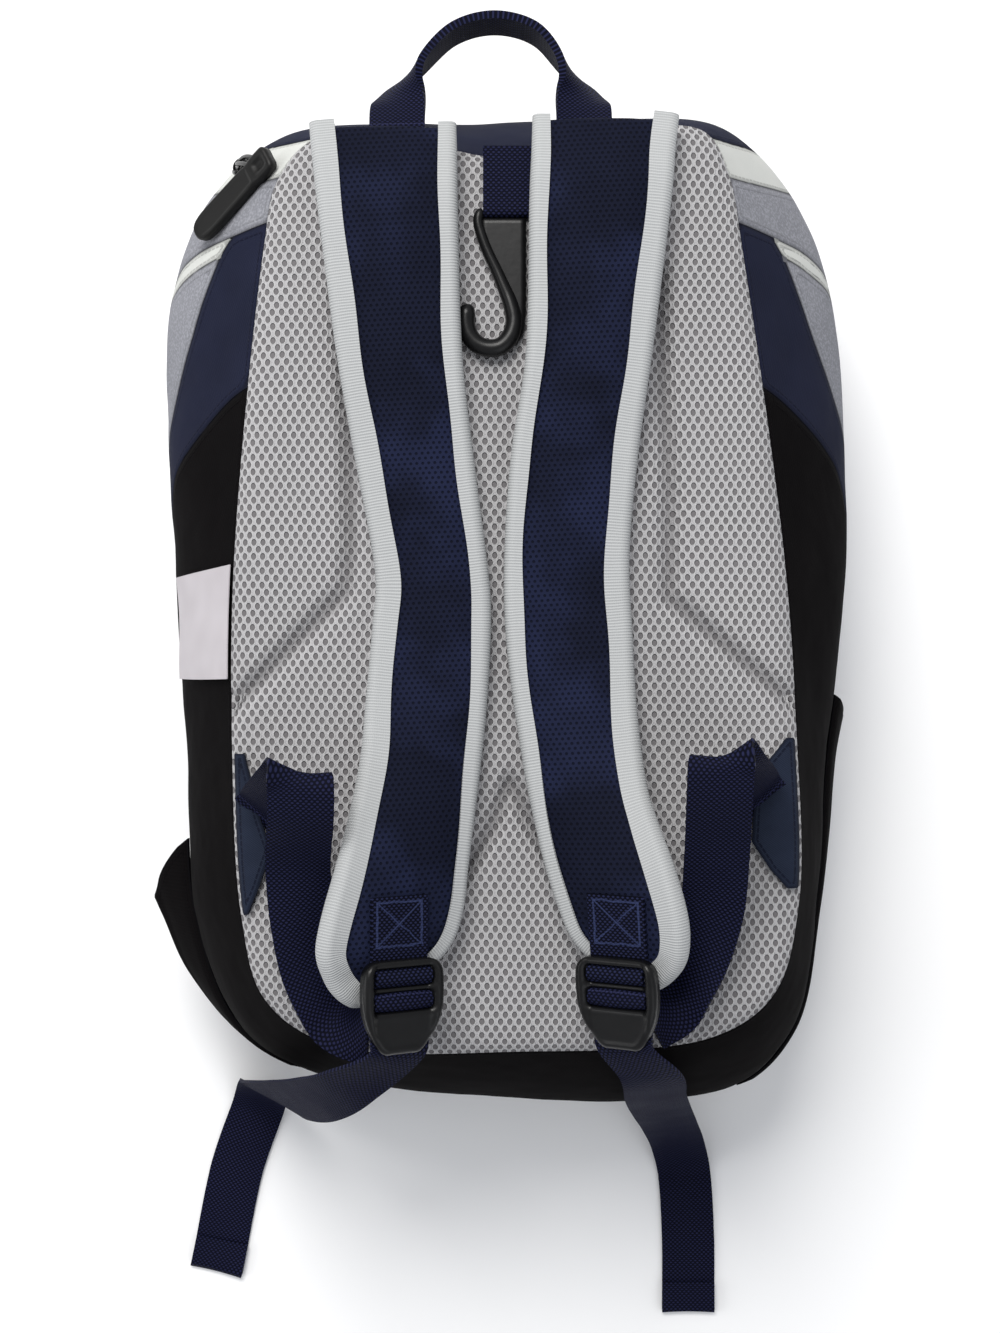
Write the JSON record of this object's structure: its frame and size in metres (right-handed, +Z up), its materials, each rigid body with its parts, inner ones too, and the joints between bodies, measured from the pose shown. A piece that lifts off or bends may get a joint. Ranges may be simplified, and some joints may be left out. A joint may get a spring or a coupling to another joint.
{
  "type": "baseball bat backpack",
  "caption": "Soft youth bat backpack lying face down: padded mesh back panel, contoured shoulder straps with ladder locks, carry handle, fence hook, zipped compartments and side pockets.",
  "frame": {"origin": "on the flat of the front pocket that the bag lies on, under the middle of the bag", "axes": "+Z up from the surface towards the harness side, +Y towards the top of the bag and its carry handle, +X to the right in the view of the harness"},
  "size_m": [0.3049, 0.5718, 0.2136],
  "materials": {
    "navy_cloth": "smooth navy polyester with a slight sheen",
    "strap_cloth": "navy polyester with a fine honeycomb of dimples",
    "heather_grey_cloth": "heather grey plain weave",
    "black_cloth": "black plain-weave polyester",
    "air_mesh": "light grey spacer mesh with oval holes",
    "binding_tape": "white ribbed grosgrain",
    "webbing": "navy ribbed polypropylene webbing",
    "zip_tape": "white zipper tape and piping",
    "label_tape": "blank white satin tape",
    "black_plastic": "satin black moulded plastic",
    "puller_rubber": "soft black moulded rubber"
  },
  "bodies": {
    "root": {"top_yoke": "navy_cloth", "main_zipper": "zip_tape", "upper_band": "heather_grey_cloth", "front_zipper": "zip_tape", "front_pocket": "heather_grey_cloth", "left_side_panel": "navy_cloth", "right_side_panel": "navy_cloth", "back_gusset": "black_cloth", "base_panel": "black_cloth", "back_panel": "air_mesh", "left_side_pocket": "black_cloth", "right_side_pocket": "black_cloth", "care_label": "label_tape", "left_strap_pad": "strap_cloth", "left_strap_binding": "binding_tape", "left_buckle_tab": "webbing", "left_ladder_lock": "black_plastic", "left_lower_webbing": "webbing", "left_webbing_tail": "webbing", "left_anchor_wing": "strap_cloth", "right_strap_pad": "strap_cloth", "right_strap_binding": "binding_tape", "right_buckle_tab": "webbing", "right_ladder_lock": "black_plastic", "right_lower_webbing": "webbing", "right_webbing_tail": "webbing", "right_anchor_wing": "strap_cloth", "carry_handle": "webbing", "hook_webbing": "webbing", "fence_hook": "black_plastic", "zip_slider": "black_plastic", "zip_puller": "puller_rubber"}
  },
  "joints": []
}
